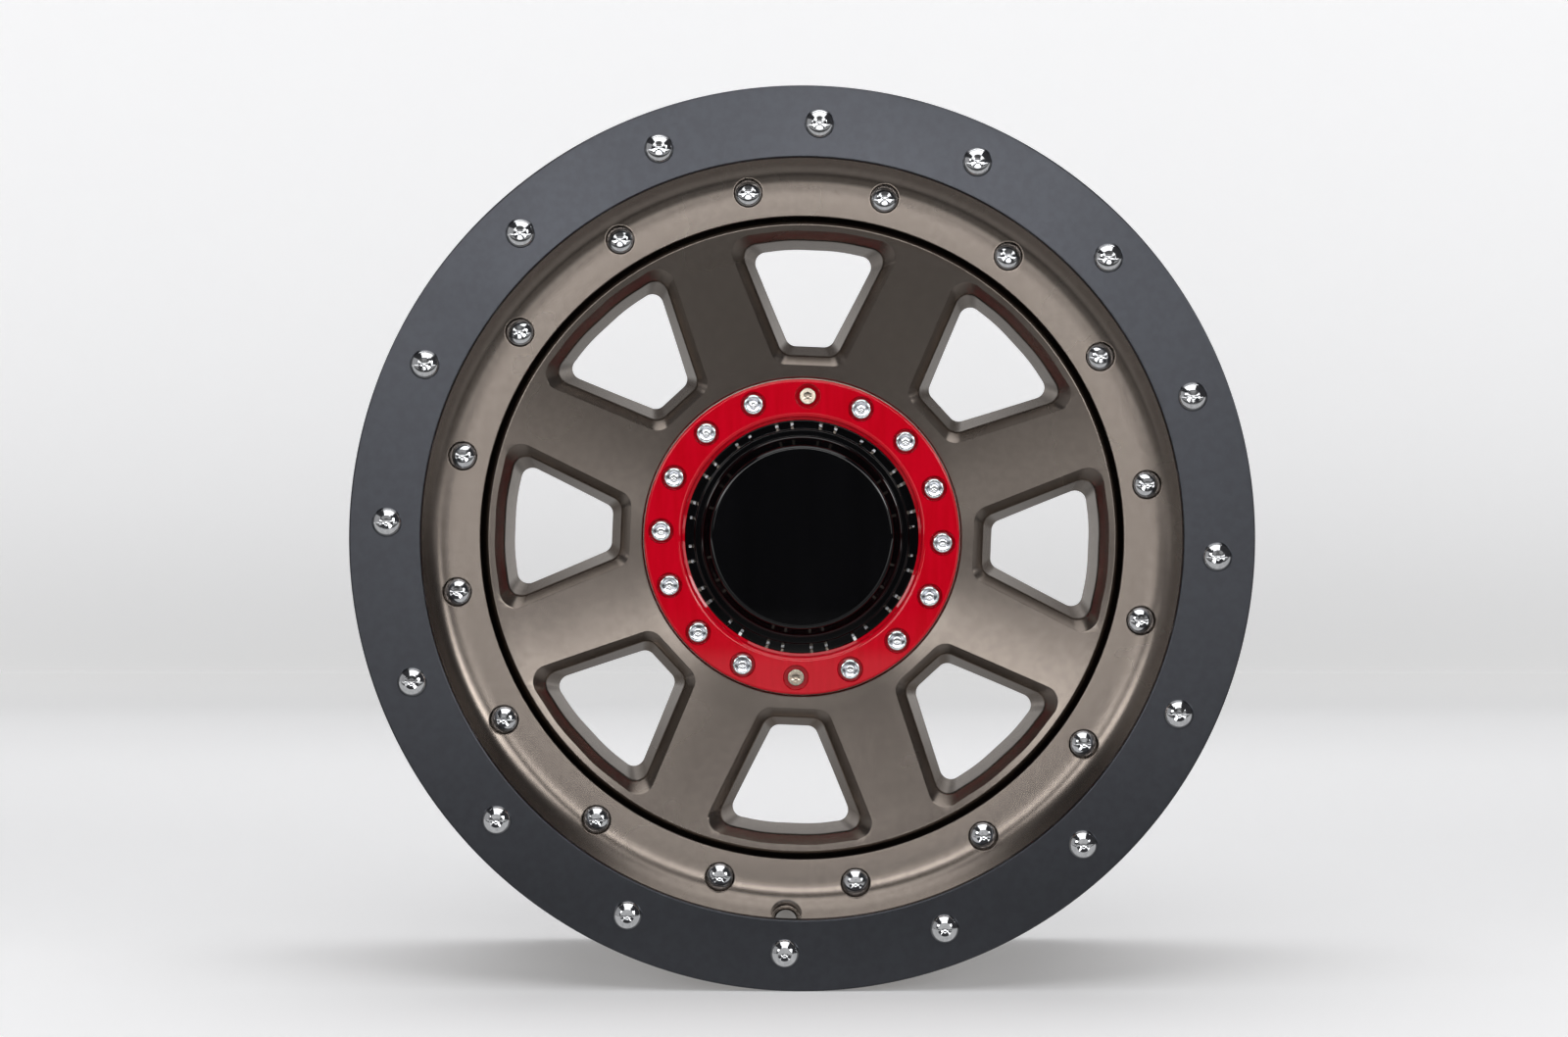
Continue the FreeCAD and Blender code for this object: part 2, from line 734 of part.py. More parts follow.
# The cap: a raised face on a sloped wall, a rim, and a crown whose fingers snap into the bore. Its
# crown lies behind the seat of the hub ring, and its rim and face each stand a step further forward.
def make_centre_cap():
    body = new_body("centre_cap")
    section = section_sketch(body, "cap_section")
    rim = finger_radius - size("cap_crown_width")
    face = rim - size("cap_side_width")
    rim_front = crown_front - size("cap_rim_depth")
    front = rim_front - size("cap_face_depth")
    edge = size("cap_face_edge")
    wall = size("cap_wall")
    crown_back = crown_front + size("cap_crown_thickness")
    draw_outline(section, [
        (0, front),
        (face - edge, front),
        (face, front + edge),
        (rim - size("cap_rim_bead"), rim_front),
        (rim, rim_front),
        (rim, crown_front),
        (finger_radius, crown_front),
        (finger_radius, finger_end),
        (finger_inner_radius, finger_end),
        (finger_inner_radius, crown_back),
        (rim - wall, crown_back),
        (face - wall, front + wall),
        (0, front + wall),
    ])
    revolve(body, "turned_cap", section)
    half_slot = size("cap_slot_width") / 2
    slot_root = finger_radius - size("cap_slot_depth")
    post_step = as_size(180) / size("cap_finger_count")
    slots = []
    for side, turn in (("left", size("cap_slot_angle")), ("right", -size("cap_slot_angle"))):
        slot = face_sketch(body, "slot_" + side, crown_front, post_step + turn)
        draw_outline(slot, [
            (-half_slot, slot_root),
            (half_slot, slot_root),
            (half_slot, cap_pocket_radius),
            (-half_slot, cap_pocket_radius),
        ])
        slots.append(pocket(body, "slot_cut_" + side, slot, size("cap_finger_length")))
    polar(body, "slots", slots, size("cap_finger_count"))
    return body


# An open spring ring lies inside the cap's fingers and presses them out
def make_cap_spring_ring():
    body = new_body("cap_spring_ring")
    section = section_sketch(body, "spring_section", size("spring_gap_angle") / 2)
    outer = finger_inner_radius - size("spring_clearance")
    inner = outer - size("spring_thickness")
    draw_outline(section, [
        (inner, finger_end - size("spring_width")),
        (outer, finger_end - size("spring_width")),
        (outer, finger_end),
        (inner, finger_end),
    ])
    revolve(body, "spring", section, angle=as_size(360) - size("spring_gap_angle"))
    return body


pieces = [
    make_casting(),
    make_trim_ring(),
    make_trim_ring_bolts(),
    make_lip_bolts(),
    make_hub_ring(),
    make_hub_ring_studs(),
    make_hub_ring_screws(),
    make_centre_cap(),
    make_cap_spring_ring(),
]
doc.recompute()

for item in doc.Objects:
    if "Invalid" in item.State or "Error" in item.State:
        raise RuntimeError("%s is %s" % (item.Name, item.State))
for piece in pieces:
    if piece.Shape.isNull() or not piece.Shape.isValid():
        raise RuntimeError("%s has no valid shape" % piece.Label)

os.makedirs("parts", exist_ok=True)
for piece in pieces:
    piece.Shape.exportStep("parts/%s.step" % piece.Label)
    print(piece.Label, len(piece.Shape.Solids), "solids", round(piece.Shape.Volume / 1000, 2), "cm3")
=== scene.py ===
import math

import bmesh
import bpy
from mathutils import Matrix, Vector


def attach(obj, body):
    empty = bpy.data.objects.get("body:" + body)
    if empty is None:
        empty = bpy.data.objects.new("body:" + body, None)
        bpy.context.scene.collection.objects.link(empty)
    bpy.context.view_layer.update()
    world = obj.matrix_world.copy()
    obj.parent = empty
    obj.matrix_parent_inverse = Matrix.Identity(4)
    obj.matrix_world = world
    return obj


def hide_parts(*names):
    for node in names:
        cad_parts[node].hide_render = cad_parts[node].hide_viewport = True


# An alloy wheel, straight from the front, on a pale studio floor
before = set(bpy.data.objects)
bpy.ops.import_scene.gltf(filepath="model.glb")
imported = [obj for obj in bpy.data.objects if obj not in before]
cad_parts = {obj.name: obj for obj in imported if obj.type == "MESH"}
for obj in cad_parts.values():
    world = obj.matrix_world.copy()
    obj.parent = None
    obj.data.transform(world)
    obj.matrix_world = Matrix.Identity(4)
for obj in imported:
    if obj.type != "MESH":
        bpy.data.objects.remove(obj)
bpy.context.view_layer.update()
scene = bpy.context.scene
bpy.ops.object.select_all(action="DESELECT")
print("wheel: frame loaded")

# Shared values: depths are in mm, counted back from the front of the trim ring
restTurn = 2.4  # degrees, the whole wheel stands turned a little clockwise
mountingDepth = 118.3
boltCount = 16
windowCount = 8
headSteps = 40  # faces round a bolt, a stud or a screw
cutterSteps = 48  # faces round the cutters of their seats and of the lug holes
mergeGap = 1e-6  # metres, points closer than this become one


# Helpers for turning, cutting and copying

def point(radius, depth, turn=0.0):
    # mm from the axis, mm back from the front, degrees clockwise from the top
    angle = math.radians(turn)
    return Vector((radius * math.sin(angle), depth - mountingDepth, radius * math.cos(angle))) / 1000


def pickOnly(*objects):
    if bpy.context.object and bpy.context.object.mode != "OBJECT":
        bpy.ops.object.mode_set(mode="OBJECT")
    bpy.ops.object.select_all(action="DESELECT")
    for item in objects:
        item.select_set(True)
    bpy.context.view_layer.objects.active = objects[0]


def applyPlace(piece):
    pickOnly(piece)
    bpy.ops.object.transform_apply(location=True, rotation=True, scale=True)


def editing(piece):
    pickOnly(piece)
    bpy.ops.object.mode_set(mode="EDIT")
    bpy.ops.mesh.select_all(action="DESELECT")
    return bmesh.from_edit_mesh(piece.data)


def doneEditing():
    bpy.ops.object.mode_set(mode="OBJECT")


# Turns an outline of (radius, depth, rounding, segments) round an axis that lies axisRadius above the
# wheel's own. A sharp corner leaves its last two values out.
def turned(name, outline, steps, axisRadius=0.0):
    corners = [tuple(corner) + (0.0, 4)[len(corner) - 2:] for corner in outline]
    places = [point(axisRadius + radius, depth) for radius, depth, _, _ in corners]
    bpy.ops.object.select_all(action="DESELECT")
    bpy.ops.mesh.primitive_plane_add(size=0.001, location=places[0])
    piece = bpy.context.object
    piece.name = name
    piece.data.name = name
    applyPlace(piece)
    bpy.ops.object.mode_set(mode="EDIT")
    bpy.ops.mesh.select_all(action="SELECT")
    bpy.ops.mesh.merge(type="CENTER")
    closed = corners[0][0] > 0 or corners[-1][0] > 0
    for here, there in zip(places, places[1:] + (places[:1] if closed else [])):
        bpy.ops.mesh.extrude_region_move(TRANSFORM_OT_translate={"value": there - here})
    bpy.ops.mesh.select_all(action="SELECT")
    bpy.ops.mesh.remove_doubles(threshold=mergeGap)
    for (radius, depth, rounding, segments), place in zip(corners, places):
        if rounding:
            mesh = editing(piece)
            min(mesh.verts, key=lambda v: (v.co - place).length).select = True
            bmesh.update_edit_mesh(piece.data)
            bpy.ops.mesh.bevel(
                offset=rounding / 1000, segments=segments, affect="VERTICES", clamp_overlap=False)
    bpy.ops.object.mode_set(mode="EDIT")
    bpy.ops.mesh.select_all(action="SELECT")
    bpy.ops.mesh.spin(
        steps=steps, angle=math.radians(360.0), center=point(axisRadius, mountingDepth), axis=(0, 1, 0))
    bpy.ops.mesh.select_all(action="SELECT")
    bpy.ops.mesh.remove_doubles(threshold=mergeGap)
    bpy.ops.mesh.normals_make_consistent(inside=False)
    doneEditing()
    return piece


# An outline that starts at depth 0, set back to where it belongs
def setBack(outline, depth):
    return [(corner[0], depth + corner[1]) + tuple(corner[2:]) for corner in outline]


# Copies a piece round the wheel's axis to each of the turns, in degrees, and joins the copies
def copyRound(piece, turns):
    copies = []
    for turn in turns:
        pickOnly(piece)
        bpy.ops.object.duplicate()
        copy = bpy.context.object
        copy.rotation_euler.y = math.radians(turn)
        applyPlace(copy)
        copies.append(copy)
    name = piece.name
    bpy.data.objects.remove(piece)
    pickOnly(*copies)
    bpy.ops.object.join()
    joined = bpy.context.object
    joined.name = name
    joined.data.name = name
    return joined


def cutAway(piece, cutter):
    cut = piece.modifiers.new("cut", "BOOLEAN")
    cut.operation = "DIFFERENCE"
    cut.solver = "EXACT"
    cut.object = cutter
    pickOnly(piece)
    bpy.ops.object.modifier_apply(modifier=cut.name)
    bpy.data.objects.remove(cutter)


# A straight round bore above the axis, from one depth to another. One of its ends may be rounded.
def boreCutter(name, radius, circle, start, end, sides=cutterSteps, rounding=0.0, roundedEnd=0.0):
    bpy.ops.object.select_all(action="DESELECT")
    bpy.ops.mesh.primitive_cylinder_add(
        vertices=sides, radius=radius / 1000, depth=(end - start) / 1000,
        location=point(circle, (start + end) / 2), rotation=(math.radians(90), 0, 0))
    cutter = bpy.context.object
    cutter.name = name
    applyPlace(cutter)
    if rounding:
        mesh = editing(cutter)
        endPlace = roundedEnd - mountingDepth
        for edge in mesh.edges:
            edge.select = all(abs(v.co.y * 1000 - endPlace) < 0.01 for v in edge.verts)
        bmesh.update_edit_mesh(cutter.data)
        bpy.ops.mesh.bevel(offset=rounding / 1000, segments=3, affect="EDGES")
        doneEditing()
    return cutter


# Smooth shading in which the faces square to the axis stay flat
def smooth(piece, degrees=32):
    pickOnly(piece)
    bpy.ops.object.shade_smooth_by_angle(angle=math.radians(degrees))
    mesh = editing(piece)
    for face in mesh.faces:
        face.select = abs(face.normal.y) > 0.99999
    bmesh.update_edit_mesh(piece.data)
    bpy.ops.mesh.mod_weighted_strength(set=True, face_strength="STRONG")
    doneEditing()
    weights = piece.modifiers.new("flatFaces", "WEIGHTED_NORMAL")
    weights.keep_sharp = True
    weights.use_face_influence = True
    weights.weight = 70  # 50 would weigh large and small faces alike
    bpy.ops.object.modifier_apply(modifier=weights.name)


# Gives a piece the wheel's own turn, its finish and its place in the frame
def finishPiece(piece, material, nodeName):
    piece.rotation_euler.y = math.radians(restTurn)
    applyPlace(piece)
    piece.data.materials.clear()
    piece.data.materials.append(material)
    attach(piece, "root")
    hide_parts(nodeName)
    print("wheel:", piece.name, len(piece.data.polygons), "faces")


# Node groups that several finishes share

def group(name, inputs, outputs):
    tree = bpy.data.node_groups.new(name, "ShaderNodeTree")
    for label, kind, value in inputs:
        socket = tree.interface.new_socket(label, in_out="INPUT", socket_type=kind)
        if value is not None:
            socket.default_value = value
    for label, kind in outputs:
        tree.interface.new_socket(label, in_out="OUTPUT", socket_type=kind)
    return tree, tree.nodes.new("NodeGroupInput"), tree.nodes.new("NodeGroupOutput")


def node(tree, kind, place, **settings):
    made = tree.nodes.new(kind)
    made.location = place
    for key, value in settings.items():
        setattr(made, key, value)
    return made


# Fine pebble of a sprayed or powder coat: a value for colour and roughness, and a bumped normal
def makeCoatGrain():
    tree, given, result = group(
        "coatGrain",
        [("Vector", "NodeSocketVector", None), ("Scale", "NodeSocketFloat", 1400.0),
         ("Height", "NodeSocketFloat", 0.15), ("Cloud Scale", "NodeSocketFloat", 9.0)],
        [("Grain", "NodeSocketFloat"), ("Cloud", "NodeSocketFloat"), ("Normal", "NodeSocketVector")])
    fine = node(tree, "ShaderNodeTexNoise", (-300, 100))
    fine.inputs["Detail"].default_value = 3
    cloud = node(tree, "ShaderNodeTexNoise", (-300, -150))
    cloud.inputs["Detail"].default_value = 4
    bump = node(tree, "ShaderNodeBump", (0, 0))
    bump.inputs["Distance"].default_value = 0.0002
    tree.links.new(given.outputs["Vector"], fine.inputs["Vector"])
    tree.links.new(given.outputs["Scale"], fine.inputs["Scale"])
    tree.links.new(given.outputs["Vector"], cloud.inputs["Vector"])
    tree.links.new(given.outputs["Cloud Scale"], cloud.inputs["Scale"])
    tree.links.new(fine.outputs["Fac"], bump.inputs["Height"])
    tree.links.new(given.outputs["Height"], bump.inputs["Strength"])
    tree.links.new(fine.outputs["Fac"], result.inputs["Grain"])
    tree.links.new(cloud.outputs["Fac"], result.inputs["Cloud"])
    tree.links.new(bump.outputs["Normal"], result.inputs["Normal"])
    return tree


# Faint wiping marks and haze of a polished surface: values from 0 to 1
def makePolishMarks():
    tree, given, result = group(
        "polishMarks",
        [("Vector", "NodeSocketVector", None), ("Haze Scale", "NodeSocketFloat", 30.0),
         ("Mark Scale", "NodeSocketFloat", 260.0)],
        [("Haze", "NodeSocketFloat"), ("Marks", "NodeSocketFloat")])
    haze = node(tree, "ShaderNodeTexNoise", (-300, 100))
    haze.inputs["Detail"].default_value = 5
    haze.inputs["Distortion"].default_value = 0.6
    stretch = node(tree, "ShaderNodeMapping", (-500, -150))
    stretch.inputs["Scale"].default_value = (1.0, 1.0, 0.12)
    stretch.inputs["Rotation"].default_value = (0.0, math.radians(28), 0.0)
    marks = node(tree, "ShaderNodeTexNoise", (-300, -150))
    marks.inputs["Detail"].default_value = 6
    tree.links.new(given.outputs["Vector"], haze.inputs["Vector"])
    tree.links.new(given.outputs["Haze Scale"], haze.inputs["Scale"])
    tree.links.new(given.outputs["Vector"], stretch.inputs["Vector"])
    tree.links.new(stretch.outputs["Vector"], marks.inputs["Vector"])
    tree.links.new(given.outputs["Mark Scale"], marks.inputs["Scale"])
    tree.links.new(haze.outputs["Fac"], result.inputs["Haze"])
    tree.links.new(marks.outputs["Fac"], result.inputs["Marks"])
    return tree


coatGrain = makeCoatGrain()
polishMarks = makePolishMarks()


def newFinish(name):
    material = bpy.data.materials.new(name)
    material.use_nodes = True
    tree = material.node_tree
    shader = tree.nodes["Principled BSDF"]
    place = node(tree, "ShaderNodeTexCoord", (-1100, 0))
    return material, tree, shader, place.outputs["Object"]


# Spreads a value, such as noise between 0.35 and 0.65, over a range
def mapValue(tree, source, low, high, place, fromLow=0.35, fromHigh=0.65):
    spread = node(tree, "ShaderNodeMapRange", place)
    spread.inputs["From Min"].default_value = fromLow
    spread.inputs["From Max"].default_value = fromHigh
    spread.inputs["To Min"].default_value = low
    spread.inputs["To Max"].default_value = high
    tree.links.new(source, spread.inputs["Value"])
    return spread.outputs["Result"]


def mixColours(tree, factor, first, second, place):
    mix = node(tree, "ShaderNodeMix", place, data_type="RGBA")
    mix.inputs["A"].default_value = first
    mix.inputs["B"].default_value = second
    tree.links.new(factor, mix.inputs["Factor"])
    return mix.outputs["Result"]


# A coated metal: two close tones, a roughness range and a fine grain
def coatedFinish(name, values):
    material, tree, shader, vector = newFinish(name)
    grain = node(tree, "ShaderNodeGroup", (-800, 0), node_tree=coatGrain)
    grain.inputs["Scale"].default_value = values["grainScale"]
    grain.inputs["Height"].default_value = values["grainHeight"]
    grain.inputs["Cloud Scale"].default_value = values["cloudScale"]
    tree.links.new(vector, grain.inputs["Vector"])
    blend = mapValue(tree, grain.outputs["Grain"], 0.0, 1.0, (-550, 200))
    colour = mixColours(tree, blend, values["darkTone"], values["lightTone"], (-300, 200))
    tree.links.new(colour, shader.inputs["Base Color"])
    rough = mapValue(tree, grain.outputs["Cloud"], *values["roughness"], (-550, -100))
    tree.links.new(rough, shader.inputs["Roughness"])
    tree.links.new(grain.outputs["Normal"], shader.inputs["Normal"])
    shader.inputs["Metallic"].default_value = values["metallic"]
    shader.inputs["Coat Weight"].default_value = values["coat"]
    shader.inputs["Coat Roughness"].default_value = values["coatRoughness"]
    return material


# A polished or plated surface: haze in its roughness and faint marks in its colour
def polishedFinish(name, values):
    material, tree, shader, vector = newFinish(name)
    marks = node(tree, "ShaderNodeGroup", (-800, 0), node_tree=polishMarks)
    marks.inputs["Haze Scale"].default_value = values["hazeScale"]
    marks.inputs["Mark Scale"].default_value = values["markScale"]
    tree.links.new(vector, marks.inputs["Vector"])
    blend = mapValue(tree, marks.outputs["Marks"], 0.0, 1.0, (-550, 200))
    colour = mixColours(tree, blend, values["darkTone"], values["lightTone"], (-300, 200))
    tree.links.new(colour, shader.inputs["Base Color"])
    rough = mapValue(tree, marks.outputs["Haze"], *values["roughness"], (-550, -100))
    tree.links.new(rough, shader.inputs["Roughness"])
    shader.inputs["Metallic"].default_value = values["metallic"]
    shader.inputs["Coat Weight"].default_value = values["coat"]
    shader.inputs["Coat Roughness"].default_value = values["coatRoughness"]
    return material


finishes = {
    "bronzePaint": dict(
        darkTone=(0.203, 0.172, 0.149, 1), lightTone=(0.221, 0.189, 0.164, 1), metallic=1.0,
        roughness=(0.25, 0.28), grainScale=240, grainHeight=0.02, cloudScale=12, coat=0.25,
        coatRoughness=0.30),
    "slatePaint": dict(
        darkTone=(0.059, 0.061, 0.069, 1), lightTone=(0.064, 0.067, 0.076, 1), metallic=1.0,
        roughness=(0.29, 0.32), grainScale=240, grainHeight=0.02, cloudScale=9, coat=0.0, coatRoughness=0.3),
    "redEnamel": dict(
        darkTone=(0.56, 0.0006, 0.010, 1), lightTone=(0.62, 0.0010, 0.014, 1), metallic=0.0,
        roughness=(0.012, 0.03), hazeScale=22, markScale=300, coat=0.0, coatRoughness=0.06),
    "chromePlate": dict(
        darkTone=(0.70, 0.71, 0.73, 1), lightTone=(0.84, 0.85, 0.87, 1), metallic=1.0,
        roughness=(0.05, 0.10), hazeScale=300, markScale=700, coat=0.0, coatRoughness=0.1),
    "champagnePlate": dict(
        darkTone=(0.38, 0.32, 0.26, 1), lightTone=(0.52, 0.45, 0.37, 1), metallic=1.0,
        roughness=(0.18, 0.26), hazeScale=300, markScale=700, coat=0.0, coatRoughness=0.1),
    "glossBlack": dict(
        darkTone=(0.0015, 0.0015, 0.0018, 1), lightTone=(0.0025, 0.0025, 0.0030, 1), metallic=0.0,
        roughness=(0.01, 0.03), hazeScale=14, markScale=60, coat=0.0, coatRoughness=0.05),
    "springSteel": dict(
        darkTone=(0.36, 0.36, 0.38, 1), lightTone=(0.50, 0.50, 0.52, 1), metallic=1.0,
        roughness=(0.22, 0.34), hazeScale=200, markScale=500, coat=0.0, coatRoughness=0.1),
}

bronzePaint = coatedFinish("bronzePaint", finishes["bronzePaint"])
slatePaint = coatedFinish("slatePaint", finishes["slatePaint"])
redEnamel = polishedFinish("redEnamel", finishes["redEnamel"])
chromePlate = polishedFinish("chromePlate", finishes["chromePlate"])
champagnePlate = polishedFinish("champagnePlate", finishes["champagnePlate"])
glossBlack = polishedFinish("glossBlack", finishes["glossBlack"])
springSteel = polishedFinish("springSteel", finishes["springSteel"])
print("wheel: finishes made")


# The casting: barrel, lip, dished face with its windows, and hub tower

casting = {
    "steps": 240,
    "outline": [          # without the curved lip, which closes it
        (199.3, 8.0), (235.6, 8.0, 0.6, 3), (235.6, 17.5, 4.4, 5), (224.0, 22.0, 4.0, 4),
        (218.3, 22.4, 1.5, 3), (216.4, 43.0, 1.2, 3), (217.6, 46.0, 1.2, 3), (196.0, 61.0, 7.0, 6),
        (196.0, 95.0, 7.0, 6), (210.5, 113.0, 7.0, 6), (210.5, 217.6, 4.0, 4), (217.6, 226.6, 1.4, 3),
        (216.4, 229.6, 1.2, 3), (218.3, 250.2, 1.5, 3), (224.0, 250.6, 4.0, 4), (235.6, 255.1, 4.4, 5),
        (235.6, 263.6, 1.6, 3), (229.6, 263.6, 1.6, 3), (226.0, 256.9, 4.0, 4), (210.9, 256.2, 6.0, 5),
        (205.7, 212.6, 12.0, 5), (205.7, 113.0, 8.0, 5), (190.0, 95.0, 8.0, 5), (190.0, 46.0, 11.0, 6),
        (172.0, 38.0, 9.0, 5), (88.0, 69.0, 6.0, 5), (88.0, 118.3, 0.8, 3), (54.55, 118.3),
        (53.05, 116.8), (53.05, 70.0, 0.4, 2), (62.5, 70.0), (62.5, 52.0, 0.5, 2),
        (84.1, 52.0), (84.1, 47.0, 0.7, 3), (124.0, 35.3, 32.0, 12), (164.15, 21.0, 0.35, 3),
        (165.65, 22.3, 0.6, 2), (168.3, 27.5), (168.5, 18.9, 0.4, 3)],
    "lipStart": 168.5,    # radii of the lip: its inner edge, where it begins to curve, where it is
    "lipStraight": 177.0,  # steepest, and its outer edge at the trim ring
    "lipSteep": 195.5,
    "lipEnd": 199.3,
    "lipDepths": (18.9, 8.0),
    "lipTilts": (3.0, 47.0),
    "lipPower": 1.7,
    "lipCount": 26,
    "dishRadii": (164.15, 84.1),  # the dished face's outer and inner edge, and their depths
    "dishDepths": (21.0, 47.0),
    "dishSag": 1.2,       # mm that the face lies deeper than a straight cone, half way
    "windowTop": 155.6,   # the window's outline on the face, from the wheel's axis
    "windowBottom": 96.1,
    "topHalf": 39.1,
    "bottomHalf": 14.1,
    "flatAngle": 10.0,
    "crownRadius": 95.0,  # rounding of the blunt corner at the middle of the window's top
    "windowSteps": (      # mm of growth, corner radius, depth behind the face
        (9.2, 9.0, 10.0, True), (5.5, 8.4, -0.3), (4.9, 8.2, 0.25), (4.1, 8.0, 0.9), (1.0, 7.0, 3.7),
        (0.3, 6.8, 4.9), (0.0, 6.6, 6.2), (-4.8, 5.6, 22.0), (-5.0, 5.5, 80.0, True)),
    "recessRadius": 8.05,
    "recessCircle": 182.8,
    "recessDepths": (4.0, 20.2),
}


# The lip's tilt grows smoothly from its inner edge to its outer one, which ends at the trim ring
def lipCurve():
    straight, end = casting["lipStraight"], casting["lipEnd"]
    high, low = casting["lipDepths"]
    firstTilt, lastTilt = casting["lipTilts"]
    count = casting["lipCount"]
    radii = [straight + (end - straight) * k / count for k in range(count + 1)]
    drops = [high - (straight - casting["lipStart"]) * math.tan(math.radians(firstTilt))]
    for last, radius in zip(radii, radii[1:]):
        share = min(((last + radius) / 2 - straight) / (casting["lipSteep"] - straight), 1.0)
        share = share ** casting["lipPower"]
        tilt = firstTilt + (lastTilt - firstTilt) * share * share * (3 - 2 * share)
        drops.append(drops[-1] - (radius - last) * math.tan(math.radians(tilt)))
    fit = (drops[0] - low) / (drops[0] - drops[-1])
    return [(radius, drops[0] - (drops[0] - drop) * fit) for radius, drop in zip(radii[:-1], drops)]


def dishDepth(radius):
    outer, inner = casting["dishRadii"]
    high, low = casting["dishDepths"]
    share = min(max((outer - radius) / (outer - inner), -0.3), 1.2)
    return high + (low - high) * share + casting["dishSag"] * 4 * max(share, 0) * max(1 - share, 0)


# One closed ring of a window's outline, grown by a distance from the inner edge of its bevel. The
# ring's depth follows the dished face, or is the same all round where it is given as flat.
def windowRing(growth, corner, depth, flat=False):
    angle = math.radians(casting["flatAngle"])
    top, bottom = casting["windowTop"], casting["windowBottom"]
    crown = top * math.tan(angle / 2)
    high = top - (casting["topHalf"] - crown) * math.tan(angle)
    outline = [(casting["bottomHalf"], bottom), (casting["topHalf"], high), (crown, top), (-crown, top),
               (-casting["topHalf"], high), (-casting["bottomHalf"], bottom)]
    spots = [Vector(spot) for spot in outline]
    arcs = []
    for index, spot in enumerate(spots):
        arriving = (spot - spots[index - 1]).normalized()
        leaving = (spots[(index + 1) % len(spots)] - spot).normalized()
        turn = arriving.angle(leaving)
        blunt = turn < math.radians(17)
        outward = (arriving - leaving).normalized()
        tip = spot + outward * growth / math.cos(turn / 2)
        radius = casting["crownRadius"] if blunt else corner
        centre = tip - outward * radius / math.cos(turn / 2)
        count = 12 if blunt else 10
        arc = []
        for k in range(count + 1):
            swing = turn * (k / count - 0.5)
            arc.append(centre + Matrix.Rotation(swing, 2) @ outward * radius)
        arcs.append(arc)
    ring = []
    for index, arc in enumerate(arcs):
        ring += arc
        following = arcs[(index + 1) % len(arcs)][0]
        ring += [arc[-1].lerp(following, k / 8) for k in range(1, 8)]
    depths = [depth if flat else dishDepth(spot.length) + depth for spot in ring]
    return [Vector((spot.x, deep - mountingDepth, spot.y)) / 1000 for spot, deep in zip(ring, depths)]


# A window's cutter: one ring is drawn, and each next one is extruded from it and put in its place
def makeWindowCutter():
    rings = [windowRing(*step) for step in casting["windowSteps"]]
    bpy.ops.object.select_all(action="DESELECT")
    bpy.ops.mesh.primitive_plane_add(size=0.001, location=rings[0][0])
    cutter = bpy.context.object
    cutter.name = "windowCutter"
    applyPlace(cutter)
    bpy.ops.object.mode_set(mode="EDIT")
    bpy.ops.mesh.select_all(action="SELECT")
    bpy.ops.mesh.merge(type="CENTER")
    for here, there in zip(rings[0], rings[0][1:] + rings[0][:1]):
        bpy.ops.mesh.extrude_region_move(TRANSFORM_OT_translate={"value": there - here})
    bpy.ops.mesh.select_all(action="SELECT")
    bpy.ops.mesh.remove_doubles(threshold=mergeGap)
    bpy.ops.mesh.edge_face_add()
    for last, ring in zip(rings, rings[1:]):
        bpy.ops.mesh.extrude_region_move()
        mesh = bmesh.from_edit_mesh(cutter.data)
        for vertex in [v for v in mesh.verts if v.select]:
            vertex.co = ring[min(range(len(last)), key=lambda k: (last[k] - vertex.co).length)]
        bmesh.update_edit_mesh(cutter.data)
    bpy.ops.mesh.select_all(action="SELECT")
    bpy.ops.mesh.normals_make_consistent(inside=False)
    doneEditing()
    return cutter


wheelCasting = turned("wheelCasting", casting["outline"] + lipCurve(), casting["steps"])
print("wheel: casting turned")
windowCutters = copyRound(makeWindowCutter(), [360 / windowCount * k for k in range(windowCount)])
cutAway(wheelCasting, windowCutters)
print("wheel: windows cut")
boltTurns = [360 / boltCount * (k + 0.5) for k in range(boltCount)]
recess = boreCutter(
    "recessCutter", casting["recessRadius"], casting["recessCircle"], *casting["recessDepths"])
cutAway(wheelCasting, copyRound(recess, boltTurns))

# Six lug holes, their pockets from the front, and reliefs between them at the back
lugs = {
    "count": 6,
    "circle": 69.85,
    "pocketRadius": 13.5,
    "pocketDepths": (45.0, 103.3),
    "pocketRounding": 1.5,
    "holeRadius": 7.5,
    "holeDepths": (90.0, 130.0),
    "reliefRadius": 12.0,
    "reliefDepths": (94.3, 130.0),
    "reliefRounding": 3.0,
}
lugTurns = [90 + 360 / lugs["count"] * k for k in range(lugs["count"])]
reliefTurns = [turn + 180 / lugs["count"] for turn in lugTurns]
pocketCutter = boreCutter(
    "lugPocketCutter", lugs["pocketRadius"], lugs["circle"], *lugs["pocketDepths"],
    rounding=lugs["pocketRounding"], roundedEnd=lugs["pocketDepths"][1])
cutAway(wheelCasting, copyRound(pocketCutter, lugTurns))
holeCutter = boreCutter("lugHoleCutter", lugs["holeRadius"], lugs["circle"], *lugs["holeDepths"], sides=40)
cutAway(wheelCasting, copyRound(holeCutter, lugTurns))
reliefCutter = boreCutter(
    "reliefCutter", lugs["reliefRadius"], lugs["circle"], *lugs["reliefDepths"],
    rounding=lugs["reliefRounding"], roundedEnd=lugs["reliefDepths"][0])
cutAway(wheelCasting, copyRound(reliefCutter, reliefTurns))

# The valve hole leans outwards as it goes in: spotface, hole and relief
valve = {
    "radius": 201.0,      # the middle of the spotface's floor, from the wheel's axis
    "depth": 25.0,
    "turn": 180.0,
    "tilt": 20.0,
    "spotface": 8.1,
    "hole": 5.65,
    "wall": 8.0,
    "chamfer": 0.7,
    "relief": 7.5,
    "reach": 42.0,        # how far the cutter runs to each side of the spotface's floor
}


